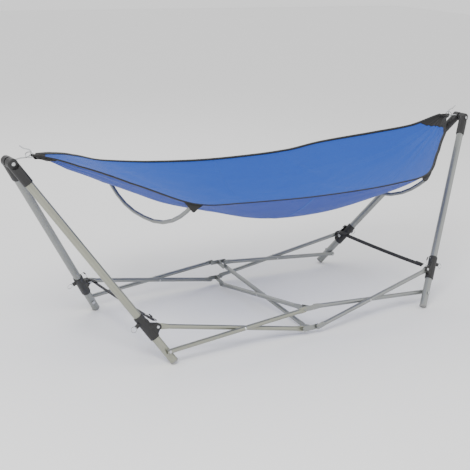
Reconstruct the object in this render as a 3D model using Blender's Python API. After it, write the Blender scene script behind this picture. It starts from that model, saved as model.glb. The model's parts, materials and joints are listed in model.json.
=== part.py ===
"""Folding hammock stand with its fabric bed: four splayed legs joined in pairs at the head,
a base of ten scissor tubes, sliding leg brackets, and a bed hung between two wire hooks.

Metres. +X is the right-hand end, +Y the far side, +Z up. The origin is on the floor under
the middle of the stand. "near" is -Y, "far" is +Y.
"""

import math

import bmesh
import bpy
from mathutils import Matrix, Vector

# ---------------------------------------------------------------- driving dimensions
CLEARANCE = 0.0003  # between touching pieces
RUNNING_CLEARANCE = 0.0008  # where a leg's tilt changes as the stand folds

# Heads: the bolt on which the near and the far leg of one end meet.
HEAD_REACH = 1.150  # from the middle of the stand to each head bolt
HEAD_HEIGHT = 0.7675
HEAD_HALF_SPREAD = 0.022  # from the middle plane to a leg's axis at the bolt

# The two side planes that hold the scissor tubes, one near and one far.
BASE_HALF_WIDTH = 0.362  # from the middle plane to a side plane, at the floor
SIDE_TILT = math.radians(12.0)  # each side plane leans inwards
END_TOE_IN = math.radians(2.2)  # each half of a side plane turns inwards towards its end
PIN_HALF_SPREAD = 0.032  # from the middle to the pins of a mid bracket
LOWER_PIN = 0.031  # height of the lower mid bracket's pins, along the side plane
UPPER_PIN = 0.113  # height of the upper mid bracket's pins, along the side plane
LEG_PIVOT_REACH = 0.6707  # from the middle to the pivot near each foot
LEG_PIVOT_HEIGHT = 0.064  # of that pivot, along the side plane
CROSSING_REACH = 0.328  # from the middle to where the two tubes of a side cross
LOWER_INSET = 0.061  # from the side plane inwards to the middle tubes' lower pins
UPPER_INSET = 0.044  # and to their upper pins, so that both arms of a middle tube match

# Tubes.
LEG_DIAMETER = 0.032
LEG_WALL = 0.0015
TUBE_DIAMETER = 0.019
TUBE_WALL = 0.0012
TUBE_OVERHANG = 0.009  # past the pin at each end
FLAT_STRAIGHT = 0.014  # from the pin to where a pressed end begins to open out
FLAT_LENGTH = 0.040  # from the pin to where it is round again
FLAT_HALF_THICKNESS = 0.0019
FLAT_HALF_WIDTH = 0.0125
LAYER = TUBE_DIAMETER / 2 + CLEARANCE  # each layer of tubes lies this far from the side plane
LEG_SPACER = 0.0026  # between a leg and the tube that it turns on
LEG_BOLT_SEAT = 0.0018  # from a leg's surface to its bolt's head, because the leg leans on it
LEG_BOLT_PLAY = 0.0020  # around the bolt in the leg, for the same reason
FLAT_TIP_SHARE = 0.55
FLAT_SHOULDER_SHARE = 0.92
FOOT_RIM_SHARE = 0.86
FOOT_RIM_HEIGHT = 0.002
FLOOR_CUTTER = 0.05
CUP_MOUTH_SHARE = 0.94
CUP_MOUTH_LENGTH = 0.004
CHEEK_EDGE = 0.001
CHEEK_EASE = 0.003
CHEEK_FACE_SHARE = 0.85
OVERCUT = 0.01
DRILL_LENGTH = 0.03
SLEEVE_EDGE = 0.001
SLEEVE_EASE = 0.002
LOCK_BOSS_RADIUS = 0.0085
LOCK_BOSS_START = 0.010
LOCK_DRILL_START = 0.05
LOCK_DRILL_LENGTH = 0.04
LOCK_TIP_SHARE = 0.35
LOCK_TIP_LENGTH = 0.001
LOCK_RING_SINK = 0.0008
NUT_RECESS = 0.001
NUT_PLAY = 0.0005
HOOK_EYE_SINK = 0.0007
HOOK_EYE_WIRE_SHARE = 0.9
BED_END_INNER_HEIGHT = 0.010
BED_END_OUTER_WIDTH = 0.012
BED_END_OUTER_HEIGHT = 0.007
LEG_OFFSET = LEG_DIAMETER / 2 + LEG_SPACER + TUBE_DIAMETER / 2 - LAYER  # of a leg's axis at its pivot
ARCH_DIAMETER = 0.016

# Sliding leg brackets.
EAR_REACH = 0.0335  # from the leg's axis to the ear's pivot
EAR_THICKNESS = 0.009
EAR_RADIUS = 0.0125
EAR_BOLT_HEAD_DIAMETER = 0.012
EAR_BOLT_RECESS = 0.020
SLEEVE_BELOW_EAR = 0.0316  # from the ear's pivot down to the sleeve's lower end
SLEEVE_LENGTH = 0.108
SLEEVE_WALL = 0.0035
GUSSET_START = 0.010  # along the sleeve
GUSSET_END = 0.078
GUSSET_HALF_THICKNESS = 0.009
LOCK_ALONG_SLEEVE = 0.082
LOCK_BOSS_LENGTH = 0.013
LOCK_PIN_DIAMETER = 0.006
LOCK_PIN_REACH = 0.046  # from the leg's axis to the middle of the pull ring
LOCK_RING_RADIUS = 0.011
LOCK_RING_WIRE = 0.0024

# Bolts, rivets and brackets.
RIVET_DIAMETER = 0.006
RIVET_HEAD_DIAMETER = 0.011
RIVET_HEAD = 0.0025
BOLT_DIAMETER = 0.008
BOLT_HEAD_DIAMETER = 0.015
BOLT_HEAD = 0.005
BRACKET_PLATE = 0.002
BRACKET_MARGIN = 0.004  # around a rivet's head
BRACKET_CORNER = 0.005
BRACKET_COLLAR = 0.009
BRACKET_HALF_HEIGHT = 0.0105

# Caps.
FOOT_PLUG_RIM = 0.007
FOOT_PLUG_RIM_DIAMETER = 0.0336
FOOT_PLUG_STEM = 0.018
FOOT_FLAT_DEPTH = 0.003  # how far the floor cuts into each foot's rim
CAP_WALL = 0.0035
CAP_LENGTH = 0.095  # below the head bolt
LEG_TOP_GAP = 0.026  # from the head bolt down to the end of the leg's tube
CHEEK_RADIUS = 0.0195
CHEEK_GAP = 0.004  # from the middle plane to each cap's flat cheek
CHEEK_OUTER = 0.036  # from the middle plane to the cap's outer face

# Hooks and the bed's ends.
HOOK_WIRE = 0.005
HOOK_EYE_BORE_RADIUS = 0.006
HOOK_EYE_RADIUS = HOOK_EYE_BORE_RADIUS + HOOK_WIRE / 2
HOOK_POINTS = (  # outwards from the head bolt towards the bed, and up
    (0.0085, 0.000),
    (0.020, 0.006),
    (0.044, 0.011),
    (0.068, 0.011),
    (0.082, 0.020),
    (0.083, 0.033),
    (0.072, 0.041),
    (0.056, 0.045),
    (0.040, 0.056),
)
BED_END_INSET = 0.0885  # from the head bolt to the end of the bed's webbing, just past the hook
BED_END_RISE = 0.0215

# The bed: stations from the left end to the right end.
# distance along X, half width, height of the edges, height of the middle
BED_STATIONS = (
    (-1.036, 0.020, 0.782, 0.772),
    (-0.930, 0.108, 0.757, 0.716),
    (-0.790, 0.232, 0.712, 0.662),
    (-0.600, 0.362, 0.646, 0.588),
    (-0.380, 0.365, 0.617, 0.508),
    (-0.100, 0.365, 0.598, 0.438),
    (0.180, 0.365, 0.594, 0.424),
    (0.400, 0.365, 0.600, 0.443),
    (0.590, 0.362, 0.622, 0.492),
    (0.790, 0.222, 0.676, 0.585),
    (0.940, 0.108, 0.722, 0.690),
    (1.036, 0.020, 0.782, 0.772),
)
BED_SECTION = 2.2  # power of the cross-section's curve
BED_THICKNESS = 0.002
BED_ACROSS = 12  # faces across the bed
BED_BETWEEN = 3  # faces between two stations
ARCH_STATIONS = ((-0.596, 0.620, 0.492), (0.592, 0.590, 0.463))  # x, end height, lowest height
ARCH_HALF_WIDTH = 0.345
ARCH_POWER = 2.42
ARCH_STEPS = 14

# Strap between the near and the far leg bracket at each end.
STRAP_WIDTH = 0.020
STRAP_THICKNESS = 0.002
STRAP_SAG = 0.004
STRAP_INSET = 0.030  # from each ear's pivot to the end of the strap
STRAP_RISE = 0.012
STRAP_STEPS = 8

TUBE_SIDES = 10
LEG_SIDES = 14
ROUND_SIDES = 14
HOLE_SIDES = 8

# ---------------------------------------------------------------- fresh scene
for old in list(bpy.data.objects):
    bpy.data.objects.remove(old, do_unlink=True)


# ---------------------------------------------------------------- materials
def make_material(name, colour, roughness, metallic):
    material = bpy.data.materials.new(name)
    material.use_nodes = True
    shader = material.node_tree.nodes["Principled BSDF"]
    shader.inputs["Base Color"].default_value = (*colour, 1.0)
    shader.inputs["Roughness"].default_value = roughness
    shader.inputs["Metallic"].default_value = metallic
    material.diffuse_color = (*colour, 1.0)
    return material


FRAME_STEEL = make_material("frame_steel", (0.42, 0.43, 0.42), 0.42, 0.8)
PIN_STEEL = make_material("pin_steel", (0.68, 0.69, 0.69), 0.25, 1.0)
BLACK_PLASTIC = make_material("black_plastic", (0.018, 0.018, 0.02), 0.5, 0.0)
GREY_PLASTIC = make_material("grey_plastic", (0.22, 0.22, 0.22), 0.55, 0.0)
BLUE_FABRIC = make_material("blue_fabric", (0.045, 0.16, 0.50), 0.8, 0.0)
BLACK_WEBBING = make_material("black_webbing", (0.012, 0.012, 0.014), 0.85, 0.0)


# ---------------------------------------------------------------- building tools
def frame_at(origin, x_axis, z_hint):
    """A placing matrix with local X along x_axis and local Z as near z_hint as it can be."""
    x = Vector(x_axis).normalized()
    z = Vector(z_hint)
    z = (z - x * z.dot(x)).normalized()
    y = z.cross(x)
    turn = Matrix((x, y, z)).transposed()
    return Matrix.Translation(origin) @ turn.to_4x4()


def frame_about(origin, z_axis):
    """A placing matrix with local Z exactly along z_axis."""
    return frame_at(origin, Vector(z_axis).orthogonal(), z_axis)


def add_object(name, bm, matrix, material):
    bmesh.ops.recalc_face_normals(bm, faces=bm.faces)
    mesh = bpy.data.meshes.new(name)
    bm.to_mesh(mesh)
    bm.free()
    mesh.materials.append(material)
    mesh.shade_smooth()
    mesh.set_sharp_from_angle(angle=math.radians(35))
    made = bpy.data.objects.new(name, mesh)
    made.matrix_world = matrix
    bpy.context.scene.collection.objects.link(made)
    return made


def ring_points(x, half_width, half_thickness, sides):
    turns = [2 * math.pi * (i + 0.5) / sides for i in range(sides)]
    return [(x, half_width * math.cos(t), half_thickness * math.sin(t)) for t in turns]


def bridge(bm, first, second):
    count = len(first)
    for i in range(count):
        j = (i + 1) % count
        bm.faces.new((first[i], first[j], second[j], second[i]))


def hollow_tube(stations, wall, sides):
    """A tube along local X through stations of (x, half width, half thickness), open at both ends."""
    bm = bmesh.new()
    outer = []
    inner = []
    for x, half_width, half_thickness in stations:
        slit = max(half_thickness - wall, half_thickness * 0.2)
        outer.append([bm.verts.new(p) for p in ring_points(x, half_width, half_thickness, sides)])
        inner.append([bm.verts.new(p) for p in ring_points(x, half_width - wall, slit, sides)])
    for i in range(len(stations) - 1):
        bridge(bm, outer[i], outer[i + 1])
        bridge(bm, inner[i + 1], inner[i])
    bridge(bm, inner[0], outer[0])
    bridge(bm, outer[-1], inner[-1])
    return bm


def turned(profile, sides):
    """A solid turned about local Z from a profile of (radius, z), closed at both ends."""
    bm = bmesh.new()
    rings = []
    for radius, z in profile:
        turns = [2 * math.pi * i / sides for i in range(sides)]
        rings.append([bm.verts.new((radius * math.cos(t), radius * math.sin(t), z)) for t in turns])
    for i in range(len(rings) - 1):
        bridge(bm, rings[i], rings[i + 1])
    bm.faces.new(rings[0])
    bm.faces.new(rings[-1])
    return bm


def cylinder(radius, low, high, sides=ROUND_SIDES):
    return turned(((radius, low), (radius, high)), sides)


def ring_solid(radius, wire, turns, sides):
    """A closed ring in the local XY plane."""
    bm = bmesh.new()
    loops = []
    for i in range(turns):
        a = 2 * math.pi * i / turns
        loop = []
        for j in range(sides):
            b = 2 * math.pi * j / sides
            reach = radius + wire / 2 * math.cos(b)
            loop.append(bm.verts.new((reach * math.cos(a), reach * math.sin(a), wire / 2 * math.sin(b))))
        loops.append(loop)
    for i in range(turns):
        bridge(bm, loops[i], loops[(i + 1) % turns])
    return bm


def plate(outline, low, high):
    """A flat plate from an outline of (x, y), between two heights."""
    bm = bmesh.new()
    bottom = [bm.verts.new((x, y, low)) for x, y in outline]
    top = [bm.verts.new((x, y, high)) for x, y in outline]
    bridge(bm, bottom, top)
    bm.faces.new(bottom)
    bm.faces.new(top)
    return bm


def helper(name, bm, matrix):
    made = add_object(name, bm, matrix, PIN_STEEL)
    made.hide_render = True
    made.display_type = "WIRE"
    made.hide_set(True)
    return made


def cut(target, bm, matrix, operation="DIFFERENCE"):
    tool = helper(f"{target.name}_tool_{len(target.modifiers)}", bm, matrix)
    step = target.modifiers.new("shape", "BOOLEAN")
    step.operation = operation
    step.solver = "EXACT"
    step.object = tool


def drill(target, centre, axis, radius, reach, sides=HOLE_SIDES):
    matrix = frame_about(centre, axis)
    cut(target, cylinder(radius, -reach, reach, sides), matrix)


# ---------------------------------------------------------------- layout
SIDES = (("near", -1), ("far", 1))
ENDS = (("left", -1), ("right", 1))


def side_axes(side, end):
    """Along the side plane towards this end, up the side plane, and outwards from it."""
    outwards = Vector((0, side * math.cos(SIDE_TILT), math.sin(SIDE_TILT)))
    along = Vector((end, 0, 0)) * math.cos(END_TOE_IN) - outwards * math.sin(END_TOE_IN)
    up = Vector((0, -side * math.sin(SIDE_TILT), math.cos(SIDE_TILT)))
    normal = outwards * math.cos(END_TOE_IN) + Vector((end, 0, 0)) * math.sin(END_TOE_IN)
    return along, up, normal


def side_point(side, end, along_by, up_by, out_by):
    along, up, normal = side_axes(side, end)
    origin = Vector((0, side * BASE_HALF_WIDTH, 0))
    return origin + along * along_by + up * up_by + normal * out_by


def ear_layer(end):
    """Left ear tubes lie in the inner layer of a side, right ear tubes in the outer one."""
    return LAYER * end


def pivot_layer(end):
    return -LAYER * end


def leg_axis(side, end):
    """The foot end, the direction upwards, and the length from the foot to the head bolt."""
    pivot = side_point(side, end, LEG_PIVOT_REACH, LEG_PIVOT_HEIGHT, end * LEG_OFFSET)
    head = Vector((end * HEAD_REACH, side * HEAD_HALF_SPREAD, HEAD_HEIGHT))
    up = (head - pivot).normalized()
    lean = math.sqrt(1 - up.z**2)
    foot_height = FOOT_PLUG_RIM_DIAMETER / 2 * lean - FOOT_FLAT_DEPTH
    foot = pivot - up * ((pivot.z - foot_height) / up.z)
    return foot, up, (head - foot).length, pivot


def ear_pivot(side, end):
    """The ear's pivot, the direction from the leg to it, and its distance from the foot.

    The pivot lies on the line from the lower mid pin through the crossing, seen along the normal.
    """
    foot, up, _, _ = leg_axis(side, end)
    along, _, normal = side_axes(side, end)
    flat_up = (up - normal * up.dot(normal)).normalized()
    inwards = (-along + flat_up * along.dot(flat_up)).normalized()
    lower = mid_pin(side, end, LOWER_PIN, 0)
    upper = mid_pin(side, end, UPPER_PIN, 0)
    leg_pin = side_point(side, end, LEG_PIVOT_REACH, LEG_PIVOT_HEIGHT, 0)
    share = (CROSSING_REACH - PIN_HALF_SPREAD) / (LEG_PIVOT_REACH - PIN_HALF_SPREAD)
    square = (upper.lerp(leg_pin, share) - lower).cross(normal)
    start = foot + inwards * EAR_REACH
    from_foot = (lower - start).dot(square) / up.dot(square)
    start += up * from_foot
    origin = Vector((0, side * BASE_HALF_WIDTH, 0))
    ear = start + normal * (ear_layer(end) - (start - origin).dot(normal))
    return ear, inwards, from_foot


def mid_pin(side, end, height, layer):
    return side_point(side, end, PIN_HALF_SPREAD, height, layer)


def crossing(first, second, normal):
    """Where two tubes cross, seen along normal: the point on the first and on the second."""
    a0, a1 = first
    b0, b1 = second
    da = a1 - a0
    db = b1 - b0
    across = da.cross(normal)
    t = (a0 - b0).dot(across) / db.dot(across)
    on_second = b0 + db * t
    across = db.cross(normal)
    s = (b0 - a0).dot(across) / da.dot(across)
    return a0 + da * s, on_second


# ---------------------------------------------------------------- pieces
def build_tube(name, start, end, normal, flat_start, flat_end, pins):
    """A scissor tube between two pins, pressed flat at the ends that say so."""
    length = (end - start).length
    radius = TUBE_DIAMETER / 2
    stations = []
    if flat_start:
        stations += [(-TUBE_OVERHANG, FLAT_HALF_WIDTH * FLAT_TIP_SHARE, FLAT_HALF_THICKNESS)]
        stations += [(-TUBE_OVERHANG / 2, FLAT_HALF_WIDTH * FLAT_SHOULDER_SHARE, FLAT_HALF_THICKNESS)]
        stations += [(FLAT_STRAIGHT, FLAT_HALF_WIDTH, FLAT_HALF_THICKNESS)]
        stations += [(FLAT_LENGTH, radius, radius)]
    else:
        stations += [(-TUBE_OVERHANG, radius, radius)]
    if flat_end:
        stations += [(length - FLAT_LENGTH, radius, radius)]
        stations += [(length - FLAT_STRAIGHT, FLAT_HALF_WIDTH, FLAT_HALF_THICKNESS)]
        stations += [(length + TUBE_OVERHANG / 2, FLAT_HALF_WIDTH * FLAT_SHOULDER_SHARE, FLAT_HALF_THICKNESS)]
        stations += [(length + TUBE_OVERHANG, FLAT_HALF_WIDTH * FLAT_TIP_SHARE, FLAT_HALF_THICKNESS)]
    else:
        stations += [(length + TUBE_OVERHANG, radius, radius)]
    matrix = frame_at(start, end - start, normal)
    tube = add_object(name, hollow_tube(stations, TUBE_WALL, TUBE_SIDES), matrix, FRAME_STEEL)
    for pin in pins:
        drill(tube, pin, normal, RIVET_DIAMETER / 2 + CLEARANCE, TUBE_DIAMETER)
    return tube


def build_rivet(name, centre, axis, low, high):
    """A rivet through what lies between low and high along its axis, with a head at both ends."""
    shank = RIVET_DIAMETER / 2
    head = RIVET_HEAD_DIAMETER / 2
    profile = (
        (head * 0.7, low - RIVET_HEAD),
        (head, low - RIVET_HEAD * 0.5),
        (head, low - CLEARANCE),
        (shank, low - CLEARANCE),
        (shank, high + CLEARANCE),
        (head, high + CLEARANCE),
        (head, high + RIVET_HEAD * 0.5),
        (head * 0.7, high + RIVET_HEAD),
    )
    matrix = frame_about(centre, axis)
    return add_object(name, turned(profile, TUBE_SIDES), matrix, PIN_STEEL)


def build_side(side_name, side):
    """The four scissor tubes of one side, their two mid brackets and their crossing rivets."""
    for end_name, end in ENDS:
        _, _, normal = side_axes(side, end)
        ear, _, _ = ear_pivot(side, end)
        ear_in = mid_pin(side, end, LOWER_PIN, ear_layer(end))
        pivot_in = mid_pin(side, end, UPPER_PIN, pivot_layer(end))
        pivot_out = side_point(side, end, LEG_PIVOT_REACH, LEG_PIVOT_HEIGHT, pivot_layer(end))
        on_ear, on_pivot = crossing((ear_in, ear), (pivot_in, pivot_out), normal)
        build_tube(
            f"{side_name}_{end_name}_ear_tube", ear_in, ear, normal, True, True, (ear_in, ear, on_ear)
        )
        build_tube(
            f"{side_name}_{end_name}_pivot_tube",
            pivot_in,
            pivot_out,
            normal,
            True,
            False,
            (pivot_in, pivot_out, on_pivot),
        )
        half = LAYER + TUBE_DIAMETER / 2
        build_rivet(
            f"{side_name}_{end_name}_crossing_rivet", (on_ear + on_pivot) / 2, normal, -half, half
        )
    build_mid_bracket(f"{side_name}_lower_bracket", side, LOWER_PIN, -side, (True, True), True)
    upper_pins = (side < 0, side > 0)
    build_mid_bracket(f"{side_name}_upper_bracket", side, UPPER_PIN, side, upper_pins, False)


def build_mid_bracket(name, side, height, tab_side, pinned, tab_pinned):
    """A pressed bracket: a plate between the two layers of tubes, a tab turned inwards, and pins.

    The middle tube lies on the tab_side of the tab, along X. A pin is left out where that pivot
    is opened.
    """
    _, up, _ = side_axes(side, 1)
    outwards = Vector((0, side * math.cos(SIDE_TILT), math.sin(SIDE_TILT)))
    centre = Vector((0, side * BASE_HALF_WIDTH, 0)) + up * height
    half = BRACKET_PLATE / 2
    tall = BRACKET_HALF_HEIGHT
    inset = LOWER_INSET if height == LOWER_PIN else UPPER_INSET
    edge = RIVET_HEAD_DIAMETER / 2 + BRACKET_MARGIN
    width = PIN_HALF_SPREAD + edge
    corner = BRACKET_CORNER
    outline = (
        (-width + corner, -tall),
        (width - corner, -tall),
        (width, -tall + corner),
        (width, tall - corner),
        (width - corner, tall),
        (-width + corner, tall),
        (-width, tall - corner),
        (-width, -tall + corner),
    )
    bracket = add_object(
        name, plate(outline, -half, half), frame_at(centre, (1, 0, 0), outwards), FRAME_STEEL
    )
    # The tab is square to the plate, beside the middle tube.
    reach = inset + edge
    tab_outline = (
        (0.0, -tall),
        (reach - corner, -tall),
        (reach, -tall + corner),
        (reach, tall - corner),
        (reach - corner, tall),
        (0.0, tall),
    )
    tab_centre = centre - Vector((tab_side * (half + CLEARANCE), 0, 0))
    cut(bracket, plate(tab_outline, -half, half), frame_at(tab_centre, -outwards, (1, 0, 0)), "UNION")
    pins = []
    for (_, end), has_pin in zip(ENDS, pinned):
        if has_pin:
            _, _, normal = side_axes(side, end)
            layer = ear_layer(end) if height == LOWER_PIN else pivot_layer(end)
            pins.append((mid_pin(side, end, height, 0), normal * layer))
    if tab_pinned:
        pins.append((centre - outwards * inset, Vector((tab_side, 0, 0))))
    for base, direction in pins:
        cut(bracket, bracket_pin(), frame_about(base, direction), "UNION")


def bracket_pin():
    """A collar that a tube's pressed end turns on, its pin and its head, along Z from a plate."""
    shank = RIVET_DIAMETER / 2
    head = RIVET_HEAD_DIAMETER / 2
    seat = LAYER + FLAT_HALF_THICKNESS + CLEARANCE
    shoulder = LAYER - FLAT_HALF_THICKNESS - CLEARANCE
    profile = (
        (BRACKET_COLLAR / 2, -BRACKET_PLATE),
        (BRACKET_COLLAR / 2, shoulder),
        (shank, shoulder),
        (shank, seat),
        (head, seat),
        (head, seat + RIVET_HEAD * 0.5),
        (head * 0.7, seat + RIVET_HEAD),
    )
    return turned(profile, TUBE_SIDES)


def middle_pin(side, height, end):
    """The centre of a middle tube's end, in the layer to this end of the middle."""
    outwards = Vector((0, side * math.cos(SIDE_TILT), math.sin(SIDE_TILT)))
    _, up, _ = side_axes(side, 1)
    centre = Vector((0, side * BASE_HALF_WIDTH, 0)) + up * height
    inset = LOWER_INSET if height == LOWER_PIN else UPPER_INSET
    return centre - outwards * inset + Vector((end * LAYER, 0, 0))


def build_middle():
    """The two middle tubes that cross from side to side, and their rivet."""
    rising = (middle_pin(-1, LOWER_PIN, 1), middle_pin(1, UPPER_PIN, 1))
    falling = (middle_pin(-1, UPPER_PIN, -1), middle_pin(1, LOWER_PIN, -1))
    axis = Vector((1, 0, 0))
    on_rising, on_falling = crossing(rising, falling, axis)
    build_tube("middle_rising_tube", *rising, axis, True, True, (*rising, on_rising))
    build_tube("middle_falling_tube", *falling, axis, True, True, (*falling, on_falling))
    half = LAYER + TUBE_DIAMETER / 2
    build_rivet("middle_crossing_rivet", (on_rising + on_falling) / 2, axis, -half, half)


def build_leg(side_name, side, end_name, end):
    """One leg with its foot plug, its head cap and the bolt that its scissor tube turns on."""
    foot, up, length, pivot = leg_axis(side, end)
    _, _, normal = side_axes(side, end)
    stem = f"{side_name}_{end_name}"
    radius = LEG_DIAMETER / 2
    matrix = frame_at(foot, up, normal)
    stations = ((FOOT_PLUG_RIM + CLEARANCE, radius, radius), (length - LEG_TOP_GAP, radius, radius))
    leg = add_object(f"{stem}_leg", hollow_tube(stations, LEG_WALL, LEG_SIDES), matrix, FRAME_STEEL)
    drill(leg, pivot, normal, BOLT_DIAMETER / 2 + LEG_BOLT_PLAY, LEG_DIAMETER, ROUND_SIDES)

    # The plug's stem goes up inside the tube; the floor cuts a flat on its rim.
    rim = FOOT_PLUG_RIM_DIAMETER / 2
    stem_radius = radius - LEG_WALL - CLEARANCE
    profile = (
        (rim * FOOT_RIM_SHARE, 0.0),
        (rim, FOOT_RIM_HEIGHT),
        (rim, FOOT_PLUG_RIM),
        (stem_radius, FOOT_PLUG_RIM),
        (stem_radius, FOOT_PLUG_RIM + FOOT_PLUG_STEM),
    )
    plug = add_object(
        f"{stem}_foot_plug", turned(profile, LEG_SIDES), frame_about(foot, up), GREY_PLASTIC
    )
    corners = tuple((x * FLOOR_CUTTER, y * FLOOR_CUTTER) for x, y in ((-1, -1), (1, -1), (1, 1), (-1, 1)))
    floor = plate(corners, -FLOOR_CUTTER, 0.0)
    cut(plug, floor, Matrix.Translation((foot.x, foot.y, 0)))

    # The bolt through the leg and the round end of the pivot tube.
    outer_side = -end
    far_face = LAYER + LEG_OFFSET + TUBE_DIAMETER / 2
    tip = RIVET_DIAMETER / 2
    shank = BOLT_DIAMETER / 2
    head = BOLT_HEAD_DIAMETER / 2
    profile = (
        (head, -radius - LEG_BOLT_SEAT - RIVET_HEAD),
        (head, -radius - LEG_BOLT_SEAT),
        (shank, -radius - LEG_BOLT_SEAT),
        (shank, radius + LEG_SPACER - CLEARANCE),
        (tip, radius + LEG_SPACER - CLEARANCE),
        (tip, far_face + CLEARANCE),
        (head * 0.8, far_face + CLEARANCE),
        (head * 0.8, far_face + CLEARANCE + RIVET_HEAD),
    )
    bolt = frame_about(pivot, normal * outer_side)
    add_object(f"{stem}_leg_bolt", turned(profile, TUBE_SIDES), bolt, PIN_STEEL)

    # The head cap: a cup over the leg's top, and a round cheek for the head bolt.
    head_point = foot + up * length
    outer = radius + CLEARANCE + CAP_WALL
    mouth = length - CAP_LENGTH
    cup = ((outer * CUP_MOUTH_SHARE, mouth), (outer, mouth + CUP_MOUTH_LENGTH), (outer, length))
    cap = add_object(
        f"{stem}_head_cap",
        turned(cup, LEG_SIDES),
        frame_about(foot, up),
        BLACK_PLASTIC,
    )
    sideways = frame_at(Vector((head_point.x, 0, head_point.z)), (1, 0, 0), (0, side, 0))
    cheek = turned(
        (
            (CHEEK_RADIUS, CHEEK_EDGE),
            (CHEEK_RADIUS, CHEEK_OUTER - CHEEK_EASE),
            (CHEEK_RADIUS * CHEEK_FACE_SHARE, CHEEK_OUTER),
        ),
        LEG_SIDES,
    )
    cut(cap, cheek, sideways, "UNION")
    bore = frame_about(foot, up)
    bore_end = length - LEG_TOP_GAP + CLEARANCE
    cut(cap, cylinder(radius + CLEARANCE, length - CAP_LENGTH - OVERCUT, bore_end, LEG_SIDES), bore)
    block = plate(((-0.1, -0.1), (0.1, -0.1), (0.1, 0.1), (-0.1, 0.1)), -0.1, CHEEK_GAP)
    cut(cap, block, sideways)
    cut(cap, cylinder(CHEEK_RADIUS, CHEEK_OUTER, CHEEK_OUTER + LEG_DIAMETER, LEG_SIDES), sideways)
    drill(cap, head_point, (0, 1, 0), BOLT_DIAMETER / 2 + CLEARANCE, DRILL_LENGTH * 2, ROUND_SIDES)
    build_sleeve(stem, side, end)


def build_sleeve(stem, side, end):
    """The sliding bracket: a sleeve on the leg, an ear for the scissor tube and a locking pin."""
    foot, up, _, _ = leg_axis(side, end)
    _, _, normal = side_axes(side, end)
    ear, inwards, from_foot = ear_pivot(side, end)
    bore = LEG_DIAMETER / 2 + CLEARANCE
    outer = bore + SLEEVE_WALL
    along = frame_about(foot, up)
    low = from_foot - SLEEVE_BELOW_EAR
    high = low + SLEEVE_LENGTH
    sleeve_profile = (
        (outer - SLEEVE_EDGE, low),
        (outer, low + SLEEVE_EASE),
        (outer, high - SLEEVE_EASE),
        (outer - SLEEVE_EDGE, high),
    )
    sleeve = add_object(f"{stem}_leg_bracket", turned(sleeve_profile, LEG_SIDES), along, BLACK_PLASTIC)

    # The ear lies just inside the layer of its tube, and widens back into the sleeve as a gusset.
    face = -FLAT_HALF_THICKNESS - RUNNING_CLEARANCE
    local = frame_at(ear, inwards, normal)
    gusset = bmesh.new()
    for step in range(-3, 4):
        turn = math.radians(25 * step)
        x = EAR_RADIUS * math.cos(turn)
        y = EAR_RADIUS * math.sin(turn)
        for z in (face - EAR_THICKNESS, face):
            gusset.verts.new(local @ Vector((x, y, z)))
    for step in (GUSSET_START, GUSSET_END):
        on_leg = foot + up * (low + step)
        level = (on_leg - ear).dot(normal)
        for rise in (level - GUSSET_HALF_THICKNESS, min(level + GUSSET_HALF_THICKNESS, face)):
            gusset.verts.new(on_leg + normal * (rise - level))
    hull = bmesh.ops.convex_hull(gusset, input=gusset.verts)
    inside = {v for v in hull["geom_interior"] + hull["geom_unused"] if isinstance(v, bmesh.types.BMVert)}
    bmesh.ops.delete(gusset, geom=list(inside), context="VERTS")
    cut(sleeve, gusset, Matrix.Identity(4), "UNION")

    # A boss outboard carries the spring-loaded locking pin.
    lock_point = foot + up * (low + LOCK_ALONG_SLEEVE)
    outboard = (Vector((end, 0, 0)) - up * (end * up.x)).normalized()
    boss = frame_at(lock_point, up, outboard)
    boss_end = outer + LOCK_BOSS_LENGTH
    cut(sleeve, cylinder(LOCK_BOSS_RADIUS, LOCK_BOSS_START, boss_end, TUBE_SIDES), boss, "UNION")
    cut(sleeve, cylinder(bore, low - OVERCUT * 2, high + OVERCUT * 2, LEG_SIDES), along)
    drill_start = lock_point + outboard * LOCK_DRILL_START
    drill(sleeve, drill_start, outboard, LOCK_PIN_DIAMETER / 2 + CLEARANCE, LOCK_DRILL_LENGTH)
    drill(sleeve, ear, normal, RIVET_DIAMETER / 2 + CLEARANCE, DRILL_LENGTH)
    inner_face = face - EAR_THICKNESS
    head = EAR_BOLT_HEAD_DIAMETER / 2
    recess = cylinder(head + CLEARANCE, inner_face - EAR_BOLT_RECESS, inner_face)
    cut(sleeve, recess, local)

    ring = ring_solid(LOCK_RING_RADIUS, LOCK_RING_WIRE, 16, 6)
    pull = add_object(
        f"{stem}_lock_pin",
        ring,
        frame_at(lock_point + outboard * LOCK_PIN_REACH, up, normal),
        PIN_STEEL,
    )
    shaft = turned(
        (
            (LOCK_PIN_DIAMETER * LOCK_TIP_SHARE, bore),
            (LOCK_PIN_DIAMETER / 2, bore + LOCK_TIP_LENGTH),
            (LOCK_PIN_DIAMETER / 2, LOCK_PIN_REACH - LOCK_RING_RADIUS + LOCK_RING_SINK),
        ),
        8,
    )
    cut(pull, shaft, boss, "UNION")

    # The ear's bolt ends flush with the ear, where the tube's pivot is opened.
    shank = RIVET_DIAMETER / 2
    profile = (
        (head * 0.8, inner_face - RIVET_HEAD),
        (head, inner_face - RIVET_HEAD * 0.5),
        (head, inner_face - CLEARANCE),
        (shank, inner_face - CLEARANCE),
        (shank, face),
    )
    add_object(f"{stem}_ear_bolt", turned(profile, TUBE_SIDES), frame_at(ear, inwards, normal), PIN_STEEL)


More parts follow.
